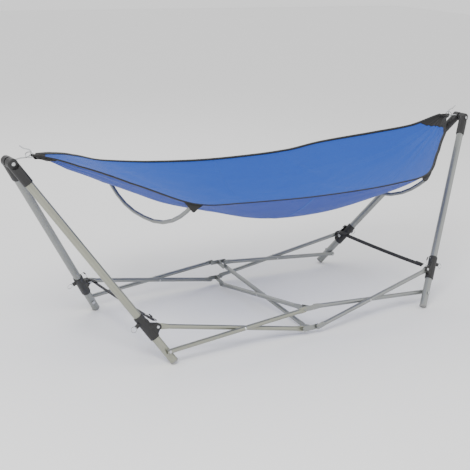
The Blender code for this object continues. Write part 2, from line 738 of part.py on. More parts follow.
def build_head(end_name, end):
    """The head bolt in the near cap, the nut in the far cap, and the wire hook between them."""
    centre = Vector((end * HEAD_REACH, 0, HEAD_HEIGHT))
    shank = BOLT_DIAMETER / 2
    head = BOLT_HEAD_DIAMETER / 2
    outer = CHEEK_OUTER + CLEARANCE
    bolt_profile = (
        (head * 0.8, -outer - BOLT_HEAD),
        (head, -outer - BOLT_HEAD * 0.6),
        (head, -outer),
        (shank, -outer),
        (shank, CHEEK_GAP - NUT_RECESS),
    )
    across = frame_at(centre, (1, 0, 0), (0, 1, 0))
    add_object(f"{end_name}_head_bolt", turned(bolt_profile, ROUND_SIDES), across, PIN_STEEL)
    nut_profile = (
        (shank, CHEEK_GAP + NUT_PLAY),
        (shank, outer),
        (head, outer),
        (head, outer + BOLT_HEAD * 0.6),
        (head * 0.6, outer + BOLT_HEAD),
    )
    add_object(f"{end_name}_head_nut", turned(nut_profile, ROUND_SIDES), across, PIN_STEEL)

    eye = ring_solid(HOOK_EYE_RADIUS - HOOK_WIRE / 2 + HOOK_EYE_SINK, HOOK_WIRE * HOOK_EYE_WIRE_SHARE, 18, 8)
    hook = add_object(f"{end_name}_hook", eye, frame_at(centre, (1, 0, 0), (0, 1, 0)), PIN_STEEL)
    wire = wire_solid([(-end * x, 0.0, z) for x, z in HOOK_POINTS], HOOK_WIRE, 8, 2)
    cut(hook, wire, Matrix.Translation(centre), "UNION")


def smooth_path(points, between):
    """Points on a smooth curve through the given ones."""
    points = [Vector(p) for p in points]
    ends = [points[0] * 2 - points[1], *points, points[-1] * 2 - points[-2]]
    path = []
    for i in range(1, len(ends) - 2):
        p0, p1, p2, p3 = ends[i - 1 : i + 3]
        for k in range(between):
            t = k / between
            path.append(
                0.5
                * (
                    2 * p1
                    + (p2 - p0) * t
                    + (2 * p0 - 5 * p1 + 4 * p2 - p3) * t**2
                    + (3 * p1 - p0 - 3 * p2 + p3) * t**3
                )
            )
    path.append(points[-1])
    return path


def wire_solid(points, diameter, sides, between):
    """A round wire along a smooth path in a plane whose normal is Y."""
    path = smooth_path(points, between)
    bm = bmesh.new()
    rings = []
    for i, point in enumerate(path):
        ahead = path[min(i + 1, len(path) - 1)] - path[max(i - 1, 0)]
        level = Vector((0, 1, 0)) if abs(ahead.normalized().y) < 0.9 else Vector((1, 0, 0))
        u = ahead.cross(level).normalized()
        v = ahead.cross(u).normalized()
        turns = [2 * math.pi * k / sides for k in range(sides)]
        rings.append(
            [bm.verts.new(point + (u * math.cos(t) + v * math.sin(t)) * diameter / 2) for t in turns]
        )
    for i in range(len(rings) - 1):
        bridge(bm, rings[i], rings[i + 1])
    bm.faces.new(rings[0])
    bm.faces.new(rings[-1])
    return bm


def build_arches():
    """The two bent spreader tubes under the bed."""
    for (end_name, _), (x, top, bottom) in zip(ENDS, ARCH_STATIONS):
        bm = bmesh.new()
        radius = ARCH_DIAMETER / 2
        path = []
        for i in range(ARCH_STEPS + 1):
            share = math.sin(math.pi / 2 * (2 * i / ARCH_STEPS - 1))
            path.append(
                Vector((x, share * ARCH_HALF_WIDTH, bottom + (top - bottom) * abs(share) ** ARCH_POWER))
            )
        loops = {radius: [], radius - TUBE_WALL: []}
        for i, point in enumerate(path):
            ahead = path[min(i + 1, len(path) - 1)] - path[max(i - 1, 0)]
            u = Vector((1, 0, 0))
            v = ahead.cross(u).normalized()
            for reach, rings in loops.items():
                turns = [2 * math.pi * k / TUBE_SIDES for k in range(TUBE_SIDES)]
                rings.append(
                    [bm.verts.new(point + (u * math.cos(t) + v * math.sin(t)) * reach) for t in turns]
                )
        outer, inner = loops.values()
        for i in range(len(path) - 1):
            bridge(bm, outer[i], outer[i + 1])
            bridge(bm, inner[i + 1], inner[i])
        bridge(bm, inner[0], outer[0])
        bridge(bm, outer[-1], inner[-1])
        add_object(f"{end_name}_spreader_arch", bm, Matrix.Identity(4), FRAME_STEEL)


def build_bed():
    """The fabric bed as one thin sheet, and the gathered webbing at its ends."""
    rows = smooth_rows(BED_STATIONS, BED_BETWEEN)
    bm = bmesh.new()
    top = []
    bottom = []
    for x, half_width, edge, middle in rows:
        upper = []
        lower = []
        for j in range(BED_ACROSS + 1):
            share = math.sin(math.pi / 2 * (2 * j / BED_ACROSS - 1))
            z = middle + (edge - middle) * abs(share) ** BED_SECTION
            upper.append(bm.verts.new((x, share * half_width, z)))
            lower.append(bm.verts.new((x, share * half_width, z - BED_THICKNESS)))
        top.append(upper)
        bottom.append(lower)
    for i in range(len(rows) - 1):
        for j in range(BED_ACROSS):
            bm.faces.new((top[i][j], top[i][j + 1], top[i + 1][j + 1], top[i + 1][j]))
            bm.faces.new((bottom[i][j], bottom[i + 1][j], bottom[i + 1][j + 1], bottom[i][j + 1]))
        for j in (0, BED_ACROSS):
            bm.faces.new((top[i][j], bottom[i][j], bottom[i + 1][j], top[i + 1][j]))
    for i in (0, len(rows) - 1):
        for j in range(BED_ACROSS):
            bm.faces.new((top[i][j], top[i][j + 1], bottom[i][j + 1], bottom[i][j]))
    add_object("bed_fabric", bm, Matrix.Identity(4), BLUE_FABRIC)

    for end_name, end in ENDS:
        x, half_width, edge, middle = BED_STATIONS[0] if end < 0 else BED_STATIONS[-1]
        inner = x + end * CLEARANCE
        outer = end * (HEAD_REACH - BED_END_INSET)
        height = HEAD_HEIGHT + BED_END_RISE
        sizes = (
            (inner, half_width, (edge + middle) / 2, BED_END_INNER_HEIGHT),
            (outer, BED_END_OUTER_WIDTH, height, BED_END_OUTER_HEIGHT),
        )
        bm = bmesh.new()
        rings = []
        for at, wide, high, thick in sizes:
            corners = ((-wide, -thick), (wide, -thick), (wide, thick), (-wide, thick))
            rings.append([bm.verts.new((at, y, high + z)) for y, z in corners])
        bridge(bm, *rings)
        bm.faces.new(rings[0])
        bm.faces.new(rings[1])
        add_object(f"{end_name}_bed_end", bm, Matrix.Identity(4), BLACK_WEBBING)


def smooth_rows(stations, between):
    """Rows on smooth curves through stations of four values."""
    rows = []
    count = len(stations)
    for i in range(count - 1):
        p0 = stations[max(i - 1, 0)]
        p1 = stations[i]
        p2 = stations[i + 1]
        p3 = stations[min(i + 2, count - 1)]
        for k in range(between):
            t = k / between
            row = []
            for a, b, c, d in zip(p0, p1, p2, p3):
                value = 2 * b + (c - a) * t + (2 * a - 5 * b + 4 * c - d) * t**2
                row.append(0.5 * (value + (3 * b - a - 3 * c + d) * t**3))
            rows.append(row)
    rows.append(list(stations[-1]))
    return rows


def build_straps():
    """The webbing strap between the near and the far leg bracket of each end."""
    for end_name, end in ENDS:
        ear, _, _ = ear_pivot(1, end)
        half = ear.y - STRAP_INSET
        z = ear.z + STRAP_RISE
        bm = bmesh.new()
        rings = []
        for i in range(STRAP_STEPS + 1):
            share = 2 * i / STRAP_STEPS - 1
            sag = STRAP_SAG * (1 - share**2)
            at = (ear.x, share * half, z - sag)
            corners = (
                (-STRAP_THICKNESS / 2, -STRAP_WIDTH / 2),
                (STRAP_THICKNESS / 2, -STRAP_WIDTH / 2),
                (STRAP_THICKNESS / 2, STRAP_WIDTH / 2),
                (-STRAP_THICKNESS / 2, STRAP_WIDTH / 2),
            )
            rings.append([bm.verts.new((at[0] + dx, at[1], at[2] + dz)) for dx, dz in corners])
        for i in range(STRAP_STEPS):
            bridge(bm, rings[i], rings[i + 1])
        bm.faces.new(rings[0])
        bm.faces.new(rings[-1])
        add_object(f"{end_name}_bracket_strap", bm, Matrix.Identity(4), BLACK_WEBBING)


# ---------------------------------------------------------------- build
for side_name, side in SIDES:
    build_side(side_name, side)
    for end_name, end in ENDS:
        build_leg(side_name, side, end_name, end)
build_middle()
for end_name, end in ENDS:
    build_head(end_name, end)
build_arches()
build_bed()
build_straps()
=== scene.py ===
"""Looks of the folding hammock stand: steel scissor frame, moulded fittings and the fabric bed."""

import json
import math

import bmesh
import bpy
from mathutils import Euler, Matrix, Vector


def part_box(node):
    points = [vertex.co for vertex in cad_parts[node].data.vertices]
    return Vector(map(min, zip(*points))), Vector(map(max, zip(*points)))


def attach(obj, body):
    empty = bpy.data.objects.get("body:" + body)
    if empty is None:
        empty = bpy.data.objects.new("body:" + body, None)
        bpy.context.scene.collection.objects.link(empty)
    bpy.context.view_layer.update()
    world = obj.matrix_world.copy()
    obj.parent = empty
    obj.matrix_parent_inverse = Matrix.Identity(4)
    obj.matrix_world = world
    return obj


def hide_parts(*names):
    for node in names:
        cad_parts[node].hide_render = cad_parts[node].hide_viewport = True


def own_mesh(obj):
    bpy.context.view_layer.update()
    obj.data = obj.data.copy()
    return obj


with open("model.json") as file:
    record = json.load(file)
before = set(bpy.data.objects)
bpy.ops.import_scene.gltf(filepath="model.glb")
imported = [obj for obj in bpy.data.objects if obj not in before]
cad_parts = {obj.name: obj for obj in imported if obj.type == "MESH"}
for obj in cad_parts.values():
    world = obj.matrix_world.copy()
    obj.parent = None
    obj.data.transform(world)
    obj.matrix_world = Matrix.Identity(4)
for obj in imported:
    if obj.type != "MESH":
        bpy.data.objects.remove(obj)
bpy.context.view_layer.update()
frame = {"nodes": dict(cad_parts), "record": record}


# ------------------------------------------------------------------ camera, floor and light
# A long lens from the near left, a little above the bed, with a slight roll.
# The floor is a plain pale sheet, under even light from all round and three soft lamps.
CAMERA_LENS = 77.93
CAMERA_SENSOR = 36.0
CAMERA_PLACE = (-2.5362, -3.3476, 1.6061)
CAMERA_YAW = 0.6191
CAMERA_PITCH = 0.2956  # downwards
CAMERA_ROLL = 0.0409
FLOOR_REACH = 14.0
FLOOR_GAP = 0.0006  # keeps the floor from lying in the feet's own plane
LAMPS = (  # name, place, width, power
    ("key", (-2.6, -2.4, 3.6), 1.6, 130),
    ("fill", (2.8, -2.6, 2.4), 3.0, 20),
    ("back", (0.6, 3.2, 3.2), 2.6, 30),
)
LAMPS_AIM = (0, 0, 0.4)

camera_data = bpy.data.cameras.new("camera")
camera_data.lens = CAMERA_LENS
camera_data.sensor_width = CAMERA_SENSOR
camera = bpy.data.objects.new("camera", camera_data)
camera_turn = Euler((math.pi / 2 - CAMERA_PITCH, 0.0, -CAMERA_YAW)).to_matrix().to_4x4()
camera.matrix_world = (
    Matrix.Translation(CAMERA_PLACE) @ camera_turn @ Matrix.Rotation(CAMERA_ROLL, 4, "Z")
)
bpy.context.scene.collection.objects.link(camera)
bpy.context.scene.camera = camera

floor_mesh = bpy.data.meshes.new("floor")
floor_bm = bmesh.new()
bmesh.ops.create_grid(floor_bm, x_segments=2, y_segments=2, size=FLOOR_REACH)
floor_bm.to_mesh(floor_mesh)
floor_bm.free()
floor = bpy.data.objects.new("floor", floor_mesh)
floor.location = (0, 0, -FLOOR_GAP)
floor_material = bpy.data.materials.new("floor")
floor_material.use_nodes = True
floor_shader = floor_material.node_tree.nodes["Principled BSDF"]
floor_shader.inputs["Base Color"].default_value = (0.93, 0.93, 0.93, 1)
floor_shader.inputs["Roughness"].default_value = 0.9
floor_mesh.materials.append(floor_material)
bpy.context.scene.collection.objects.link(floor)

world = bpy.data.worlds.new("world")
bpy.context.scene.world = world
world.use_nodes = True
world.node_tree.nodes["Background"].inputs["Color"].default_value = (1.0, 1.0, 1.0, 1)
world.node_tree.nodes["Background"].inputs["Strength"].default_value = 1.15

for light_name, place, size, power in LAMPS:
    light_data = bpy.data.lights.new(light_name, "AREA")
    light_data.energy = power
    light_data.size = size
    light = bpy.data.objects.new(light_name, light_data)
    light.location = place
    light.rotation_euler = (Vector(LAMPS_AIM) - Vector(place)).to_track_quat("-Z", "Y").to_euler()
    bpy.context.scene.collection.objects.link(light)


# ------------------------------------------------------------------ steel tubes and plates
# The legs, scissor tubes, bent spreader tubes and middle plates are steel tube and sheet, cut, flattened,
# drilled and powder-coated in satin grey. The near left leg and its two tubes have a warmer, greener coat.
SHARP_EDGE = math.radians(35)


def node(tree, kind, place=(0, 0), **values):
    made = tree.nodes.new(kind)
    made.location = place
    for name, value in values.items():
        setattr(made, name, value)
    return made


def math_node(tree, operation, first, second=None, third=None):
    made = node(tree, "ShaderNodeMath", operation=operation)
    for socket, value in zip(made.inputs, (first, second, third)):
        if value is None:
            continue
        if isinstance(value, (int, float)):
            socket.default_value = value
        else:
            tree.links.new(value, socket)
    return made.outputs[0]


def new_group(name, inputs, outputs):
    group = bpy.data.node_groups.new(name, "ShaderNodeTree")
    for socket_name, socket_type in inputs:
        group.interface.new_socket(socket_name, in_out="INPUT", socket_type=socket_type)
    for socket_name, socket_type in outputs:
        group.interface.new_socket(socket_name, in_out="OUTPUT", socket_type=socket_type)
    start = node(group, "NodeGroupInput", (-900, 0))
    end = node(group, "NodeGroupOutput", (900, 0))
    return group, start, end


# Orange peel of a powder coat or the fine grain of a moulding, with soft large-scale shade and scuffs.
grain_group, start, end = new_group(
    "surface_grain",
    (("Vector", "NodeSocketVector"), ("Scale", "NodeSocketFloat")),
    (("Height", "NodeSocketFloat"), ("Shade", "NodeSocketFloat"), ("Scuff", "NodeSocketFloat")),
)
fine = node(grain_group, "ShaderNodeTexNoise")
fine.inputs["Detail"].default_value = 2.0
grain_group.links.new(start.outputs["Vector"], fine.inputs["Vector"])
grain_group.links.new(start.outputs["Scale"], fine.inputs["Scale"])
shade = node(grain_group, "ShaderNodeTexNoise")
shade.inputs["Scale"].default_value = 9.0
shade.inputs["Detail"].default_value = 4.0
grain_group.links.new(start.outputs["Vector"], shade.inputs["Vector"])
stretch = node(grain_group, "ShaderNodeMapping")
stretch.inputs["Scale"].default_value = (40.0, 300.0, 300.0)
grain_group.links.new(start.outputs["Vector"], stretch.inputs["Vector"])
scuff = node(grain_group, "ShaderNodeTexNoise")
scuff.inputs["Scale"].default_value = 1.0
scuff.inputs["Detail"].default_value = 5.0
grain_group.links.new(stretch.outputs[0], scuff.inputs["Vector"])
grain_group.links.new(fine.outputs["Fac"], end.inputs["Height"])
grain_group.links.new(shade.outputs["Fac"], end.inputs["Shade"])
grain_group.links.new(math_node(grain_group, "POWER", scuff.outputs["Fac"], 3.0), end.inputs["Scuff"])


def mix_colours(tree, factor, dark, light):
    mix = node(tree, "ShaderNodeMix", data_type="RGBA")
    for socket, value in ((mix.inputs[6], dark), (mix.inputs[7], light)):
        if isinstance(value, tuple):
            socket.default_value = (*value, 1)
        else:
            tree.links.new(value, socket)
    tree.links.new(factor, mix.inputs[0])
    return mix.outputs[2]


def grained_material(name, dark, light, roughness, metallic, scale, bump, coat=0.0):
    """Powder coat, zinc or moulded plastic, by its two shades and the scale of its grain."""
    material = bpy.data.materials.new(name)
    material.use_nodes = True
    tree = material.node_tree
    shader = tree.nodes["Principled BSDF"]
    place = node(tree, "ShaderNodeTexCoord")
    grain = node(tree, "ShaderNodeGroup", node_tree=grain_group)
    grain.inputs["Scale"].default_value = scale
    tree.links.new(place.outputs["Object"], grain.inputs["Vector"])
    tree.links.new(mix_colours(tree, grain.outputs["Shade"], dark, light), shader.inputs["Base Color"])
    rough = math_node(tree, "MULTIPLY_ADD", grain.outputs["Scuff"], 0.35, roughness - 0.05)
    tree.links.new(rough, shader.inputs["Roughness"])
    shader.inputs["Metallic"].default_value = metallic
    shader.inputs["Coat Weight"].default_value = coat
    shader.inputs["Coat Roughness"].default_value = 0.2
    bump_node = node(tree, "ShaderNodeBump")
    bump_node.inputs["Strength"].default_value = bump
    bump_node.inputs["Distance"].default_value = 0.0002
    tree.links.new(grain.outputs["Height"], bump_node.inputs["Height"])
    tree.links.new(bump_node.outputs[0], shader.inputs["Normal"])
    return material


def dress(slot, material):
    """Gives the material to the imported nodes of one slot, with smooth sides and sharp edges."""
    for subpart in frame["record"]["subparts"]:
        if subpart["material_slot"] == slot:
            mesh = frame["nodes"][subpart["node"]].data
            mesh.materials.clear()
            mesh.materials.append(material)
            mesh.shade_smooth()
            mesh.set_sharp_from_angle(angle=SHARP_EDGE)


frame_coat = grained_material(
    "frame_coat", (0.235, 0.245, 0.24), (0.30, 0.31, 0.30), 0.36, 0.7, 900.0, 0.25
)
warm_coat = grained_material(
    "warm_coat", (0.27, 0.275, 0.225), (0.34, 0.345, 0.285), 0.36, 0.7, 900.0, 0.25
)
dress("frame_steel", frame_coat)
for warm_node in ("near_left_leg", "near_left_pivot_tube", "near_left_ear_tube"):
    frame["nodes"][warm_node].data.materials[0] = warm_coat


# ------------------------------------------------------------------ bolts, rivets, lock pins and hooks
# Bright zinc-plated steel: turned bolts and rivets, sprung pins with pull rings, and the two hooks
# bent from 5 mm wire that hang from the head bolts.
zinc = grained_material("zinc", (0.42, 0.43, 0.44), (0.60, 0.61, 0.62), 0.22, 1.0, 500.0, 0.15)
dress("pin_steel", zinc)


# ------------------------------------------------------------------ moulded fittings
# The head caps and leg brackets are matte black mouldings and the feet are grey plugs, all with a fine
# moulded grain. The caps and plugs push onto the tubes, and the brackets slide on the legs.
moulded_black = grained_material(
    "moulded_black", (0.007, 0.007, 0.0075), (0.017, 0.017, 0.018), 0.45, 0.0, 1400.0, 0.4
)
moulded_grey = grained_material(
    "moulded_grey", (0.20, 0.20, 0.20), (0.27, 0.27, 0.265), 0.55, 0.0, 1400.0, 0.4
)
dress("black_plastic", moulded_black)
dress("grey_plastic", moulded_grey)


# ------------------------------------------------------------------ bed cloth
# One sheet of plain-woven polyester, blue on top and more violet underneath. It hangs from its gathered
# ends and is held open by the two bent tubes. It dips in the middle, with folds running out of each
# gather and creases where the pockets pull.
BED_ROWS = (  # distance along X, half width, height of the edges, height of the middle
    (-1.036, 0.020, 0.782, 0.772),
    (-0.930, 0.108, 0.757, 0.724),
    (-0.790, 0.232, 0.712, 0.663),
    (-0.600, 0.362, 0.646, 0.580),
    (-0.380, 0.365, 0.617, 0.508),
    (-0.100, 0.365, 0.598, 0.438),
    (0.180, 0.365, 0.594, 0.424),
    (0.400, 0.365, 0.600, 0.452),
    (0.590, 0.362, 0.622, 0.504),
    (0.790, 0.222, 0.676, 0.585),
    (0.940, 0.108, 0.722, 0.690),
    (1.036, 0.020, 0.782, 0.772),
)
BED_BETWEEN = 12
BED_HALF_COLUMNS = 26
BED_POWER = 2.2
NEAR_EDGE_DROP = 0.011
CREASES = (  # from, to, height: folds that the pull of the pockets leaves in the cloth
    ((0.34, 0.36), (0.50, 0.12), 0.0070),
    ((0.36, 0.20), (0.70, -0.24), 0.0060),
    ((0.10, -0.30), (0.55, -0.34), 0.0045),
    ((-0.60, 0.34), (-0.30, 0.10), 0.0055),
    ((-0.58, -0.33), (-0.25, -0.12), 0.0055),
    ((-0.20, 0.30), (0.15, 0.05), -0.0040),
    ((-0.80, 0.10), (-0.35, 0.16), 0.0040),
)
NEAR_DROP_X = -0.62
NEAR_DROP_REACH = 0.30
FOLDS_FROM = 0.60  # distance from the middle at which the folds of the gathers begin
FOLDS_LENGTH = 0.436
FOLD_HEIGHT = 0.0060
FOLD_WAVES = 15.0
FINE_FOLD_WAVES = 27.0
RIPPLE_HEIGHT = 0.0018
CREASE_HALF_WIDTH = 0.36  # what a share of 1 is worth where the creases are given
CREASE_WIDTH = 0.016
CLOTH_HALF_WIDTH = 0.39  # from the middle to an edge, measured along the cloth
CLOTH_THICKNESS = 0.0014
UNDERSIDE_SHELL = 1


# Plain weave: warp and weft threads that pass over and under each other, with flecks of shade.
weave_group, start, end = new_group(
    "plain_weave",
    (("Vector", "NodeSocketVector"), ("Thread", "NodeSocketFloat")),
    (("Height", "NodeSocketFloat"), ("Warp", "NodeSocketFloat"), ("Fleck", "NodeSocketFloat")),
)
split = node(weave_group, "ShaderNodeSeparateXYZ")
weave_group.links.new(start.outputs["Vector"], split.inputs[0])
per_metre = math_node(weave_group, "DIVIDE", math.pi, start.outputs["Thread"])
across = math_node(weave_group, "SINE", math_node(weave_group, "MULTIPLY", split.outputs[0], per_metre))
along = math_node(weave_group, "SINE", math_node(weave_group, "MULTIPLY", split.outputs[1], per_metre))
over = math_node(weave_group, "GREATER_THAN", math_node(weave_group, "MULTIPLY", across, along), 0.0)
warp_height = math_node(weave_group, "ABSOLUTE", across)
weft_height = math_node(weave_group, "ABSOLUTE", along)
mixed = math_node(weave_group, "MULTIPLY", math_node(weave_group, "SUBTRACT", warp_height, weft_height), over)
weave_group.links.new(math_node(weave_group, "ADD", mixed, weft_height), end.inputs["Height"])
weave_group.links.new(over, end.inputs["Warp"])
fleck = node(weave_group, "ShaderNodeTexNoise")
fleck.inputs["Scale"].default_value = 420.0
fleck.inputs["Detail"].default_value = 3.0
weave_group.links.new(start.outputs["Vector"], fleck.inputs["Vector"])
weave_group.links.new(fleck.outputs["Fac"], end.inputs["Fleck"])


def ranged(tree, value, low, high):
    made = node(tree, "ShaderNodeMapRange")
    made.inputs["To Min"].default_value = low
    made.inputs["To Max"].default_value = high
    tree.links.new(value, made.inputs["Value"])
    return made.outputs[0]


def woven_material(name, dark, light, thread, roughness, sheen, bump, crease=0.0):
    """Cloth or webbing: threads, flecks, a soft sheen and, on large cloth, creases."""
    material = bpy.data.materials.new(name)
    material.use_nodes = True
    tree = material.node_tree
    shader = tree.nodes["Principled BSDF"]
    place = node(tree, "ShaderNodeTexCoord")
    weave = node(tree, "ShaderNodeGroup", node_tree=weave_group)
    weave.inputs["Thread"].default_value = thread
    tree.links.new(place.outputs["UV"], weave.inputs["Vector"])
    cloth = mix_colours(tree, ranged(tree, weave.outputs["Fleck"], 0.2, 0.8), dark, light)
    warp_shade = math_node(tree, "MULTIPLY_ADD", weave.outputs["Warp"], 0.05, 0.95)
    tinted = node(tree, "ShaderNodeMix", data_type="RGBA", blend_type="MULTIPLY")
    tinted.inputs[0].default_value = 1.0
    tree.links.new(cloth, tinted.inputs[6])
    tree.links.new(warp_shade, tinted.inputs[7])
    tree.links.new(tinted.outputs[2], shader.inputs["Base Color"])
    shader.inputs["Roughness"].default_value = roughness
    shader.inputs["Sheen Weight"].default_value = sheen
    shader.inputs["Sheen Roughness"].default_value = 0.4
    fine_bump = node(tree, "ShaderNodeBump")
    fine_bump.inputs["Strength"].default_value = bump
    fine_bump.inputs["Distance"].default_value = 0.0003
    tree.links.new(weave.outputs["Height"], fine_bump.inputs["Height"])
    if crease > 0:
        stretch = node(tree, "ShaderNodeMapping")
        stretch.inputs["Scale"].default_value = (2.2, 7.0, 1.0)
        tree.links.new(place.outputs["UV"], stretch.inputs["Vector"])
        folds = node(tree, "ShaderNodeTexNoise")
        folds.inputs["Scale"].default_value = 2.0
        folds.inputs["Detail"].default_value = 3.0
        folds.inputs["Distortion"].default_value = 0.6
        tree.links.new(stretch.outputs[0], folds.inputs["Vector"])
        crease_bump = node(tree, "ShaderNodeBump")
        crease_bump.inputs["Strength"].default_value = crease
        crease_bump.inputs["Distance"].default_value = 0.012
        tree.links.new(folds.outputs["Fac"], crease_bump.inputs["Height"])
        tree.links.new(fine_bump.outputs[0], crease_bump.inputs["Normal"])
        tree.links.new(crease_bump.outputs[0], shader.inputs["Normal"])
    else:
        tree.links.new(fine_bump.outputs[0], shader.inputs["Normal"])
    return material


blue_cloth = woven_material(
    "blue_cloth", (0.0045, 0.064, 0.375), (0.007, 0.077, 0.425), 0.0011, 0.62, 0.03, 0.5, crease=0.7
)
blue_underside = woven_material(
    "blue_underside", (0.008, 0.046, 0.33), (0.012, 0.056, 0.38), 0.0011, 0.62, 0.03, 0.5, crease=0.7
)
dress("blue_fabric", blue_cloth)


def finish_piece(name, bm, material, body, smooth=True):
    """Turns the mesh under way into a named piece that rides on a body."""
    mesh = bpy.data.meshes.new(name)
    bmesh.ops.recalc_face_normals(bm, faces=bm.faces)
    bm.to_mesh(mesh)
    bm.free()
    mesh.materials.append(material)
    if smooth:
        mesh.shade_smooth()
    piece = bpy.data.objects.new(name, mesh)
    bpy.context.scene.collection.objects.link(piece)
    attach(piece, body)
    return piece


def bed_row(x):
    """Half width, edge height and middle height of the bed at x, on a smooth curve."""
    index = 0
    while index < len(BED_ROWS) - 2 and BED_ROWS[index + 1][0] < x:
        index += 1
    a = BED_ROWS[max(index - 1, 0)]
    b = BED_ROWS[index]
    c = BED_ROWS[index + 1]
    d = BED_ROWS[min(index + 2, len(BED_ROWS) - 1)]
    t = min(max((x - b[0]) / (c[0] - b[0]), 0.0), 1.0)
    values = []
    for k in (1, 2, 3):
        bend = (2 * a[k] - 5 * b[k] + 4 * c[k] - d[k]) * t**2
        bend += (3 * b[k] - a[k] - 3 * c[k] + d[k]) * t**3
        values.append(0.5 * (2 * b[k] + (c[k] - a[k]) * t + bend))
    return values


def bed_point(x, share):
    """A point of the cloth: share runs from -1 at the near edge to 1 at the far edge."""
    half_width, edge, middle = bed_row(x)
    if share < 0:
        edge -= NEAR_EDGE_DROP * math.exp(-(((x - NEAR_DROP_X) / NEAR_DROP_REACH) ** 2))
    z = middle + (edge - middle) * abs(share) ** BED_POWER
    gathering = max(0.0, (abs(x) - FOLDS_FROM) / FOLDS_LENGTH)
    fold = math.sin(share * FOLD_WAVES + 1.1 * math.sin(3.0 * share) + (0.6 if x > 0 else 0.0))
    fold += 0.5 * math.sin(share * FINE_FOLD_WAVES + 2.0)
    z += fold * FOLD_HEIGHT * gathering * (1 - 0.75 * gathering) * (1 - share**4)
    z += RIPPLE_HEIGHT * math.sin(x * 9.0 + share * 5.0) * (1 - share**2)
    for start, end, height in CREASES:
        run = Vector(end) - Vector(start)
        past = Vector((x, share * CREASE_HALF_WIDTH)) - Vector(start)
        travelled = past.dot(run) / run.length_squared
        aside = (past - run * travelled).length
        z += height * math.exp(-((aside / CREASE_WIDTH) ** 2)) * max(0.0, 1 - (2 * travelled - 1) ** 2)
    return Vector((x, share * half_width, z))


bed_xs = []
for row, following in zip(BED_ROWS, BED_ROWS[1:]):
    bed_xs += [row[0] + (following[0] - row[0]) * k / BED_BETWEEN for k in range(BED_BETWEEN)]
bed_xs.append(BED_ROWS[-1][0])
bed_shares = [
    math.sin(math.pi / 2 * k / BED_HALF_COLUMNS) for k in range(-BED_HALF_COLUMNS, BED_HALF_COLUMNS + 1)
]
bed_bm = bmesh.new()
bed_uv = bed_bm.loops.layers.uv.verify()
bed_grid = [[bed_bm.verts.new(bed_point(x, share)) for share in bed_shares] for x in bed_xs]
for i in range(len(bed_xs) - 1):
    for j in range(len(bed_shares) - 1):
        corners = ((i, j), (i, j + 1), (i + 1, j + 1), (i + 1, j))
        face = bed_bm.faces.new([bed_grid[a][b] for a, b in corners])
        for loop, (a, b) in zip(face.loops, corners):
            loop[bed_uv].uv = (bed_xs[a], bed_shares[b] * CLOTH_HALF_WIDTH)
bed_cloth = finish_piece("bed_cloth", bed_bm, blue_cloth, "bed")
thick = bed_cloth.modifiers.new("thickness", "SOLIDIFY")
thick.thickness = CLOTH_THICKNESS
thick.offset = 1.0
bed_cloth.data.materials.append(blue_underside)
thick.material_offset = UNDERSIDE_SHELL
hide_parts("bed_fabric")


# ------------------------------------------------------------------ edge binding
# Black woven tape folded over each long edge of the cloth and sewn down with one row of black thread,
# which stops short of the gathered ends.
black_tape = woven_material(
    "black_tape", (0.006, 0.006, 0.007), (0.014, 0.014, 0.015), 0.0013, 0.75, 0.05, 0.9
)
black_thread = woven_material(
    "black_thread", (0.03, 0.03, 0.032), (0.05, 0.05, 0.055), 0.0006, 0.6, 0.1, 0.8
)
dress("black_webbing", black_tape)
BINDING_WIDTH = 0.014
BINDING_THICKNESS = 0.0044
BINDING_TILT = 0.25
STITCHED_REACH = 0.97
STITCHES_INSET = 0.0035
STITCHES_RISE = 0.0027


def round_section(radius, sides=10):
    return [
        (radius * math.cos(2 * math.pi * k / sides), radius * math.sin(2 * math.pi * k / sides))
        for k in range(sides)
    ]


def tape_section(width, thickness):
    """Flat webbing with softened edges."""
    w = width / 2
    t = thickness / 2
    return [
        (-w, -t * 0.5),
        (-w * 0.9, -t),
        (w * 0.9, -t),
        (w, -t * 0.5),
        (w, t * 0.5),
        (w * 0.9, t),
        (-w * 0.9, t),
        (-w, t * 0.5),
    ]


def sweep(bm, path, section, sides_out, closed=False, uv_scale=1.0):
    """A strip of the given section along a path: sides_out is the section's X direction at each point."""
    uv = bm.loops.layers.uv.verify()
    rings = []
    travelled = 0.0
    lengths = []
    for i, point in enumerate(path):
        ahead = path[min(i + 1, len(path) - 1)] - path[max(i - 1, 0)]
        if closed:
            ahead = path[(i + 1) % len(path)] - path[i - 1]
        if i:
            travelled += (point - path[i - 1]).length
        lengths.append(travelled)
        out = sides_out[i] if isinstance(sides_out, list) else sides_out
        ahead.normalize()
        out = (out - ahead * out.dot(ahead)).normalized()
        up = ahead.cross(out)
        rings.append([bm.verts.new(point + out * x + up * y) for x, y in section])
    count = len(section)
    steps = len(rings) if closed else len(rings) - 1
    for i in range(steps):
        j = (i + 1) % len(rings)
        for k in range(count):
            m = (k + 1) % count
            face = bm.faces.new((rings[i][k], rings[i][m], rings[j][m], rings[j][k]))
            s0 = lengths[i]
            s1 = lengths[j] if j else travelled + (path[0] - path[-1]).length
            for loop, (s, t) in zip(face.loops, ((s0, k), (s0, k + 1), (s1, k + 1), (s1, k))):
                loop[uv].uv = (s * uv_scale, t * 0.004)
    if not closed:
        bm.faces.new(rings[0])
        bm.faces.new(rings[-1])


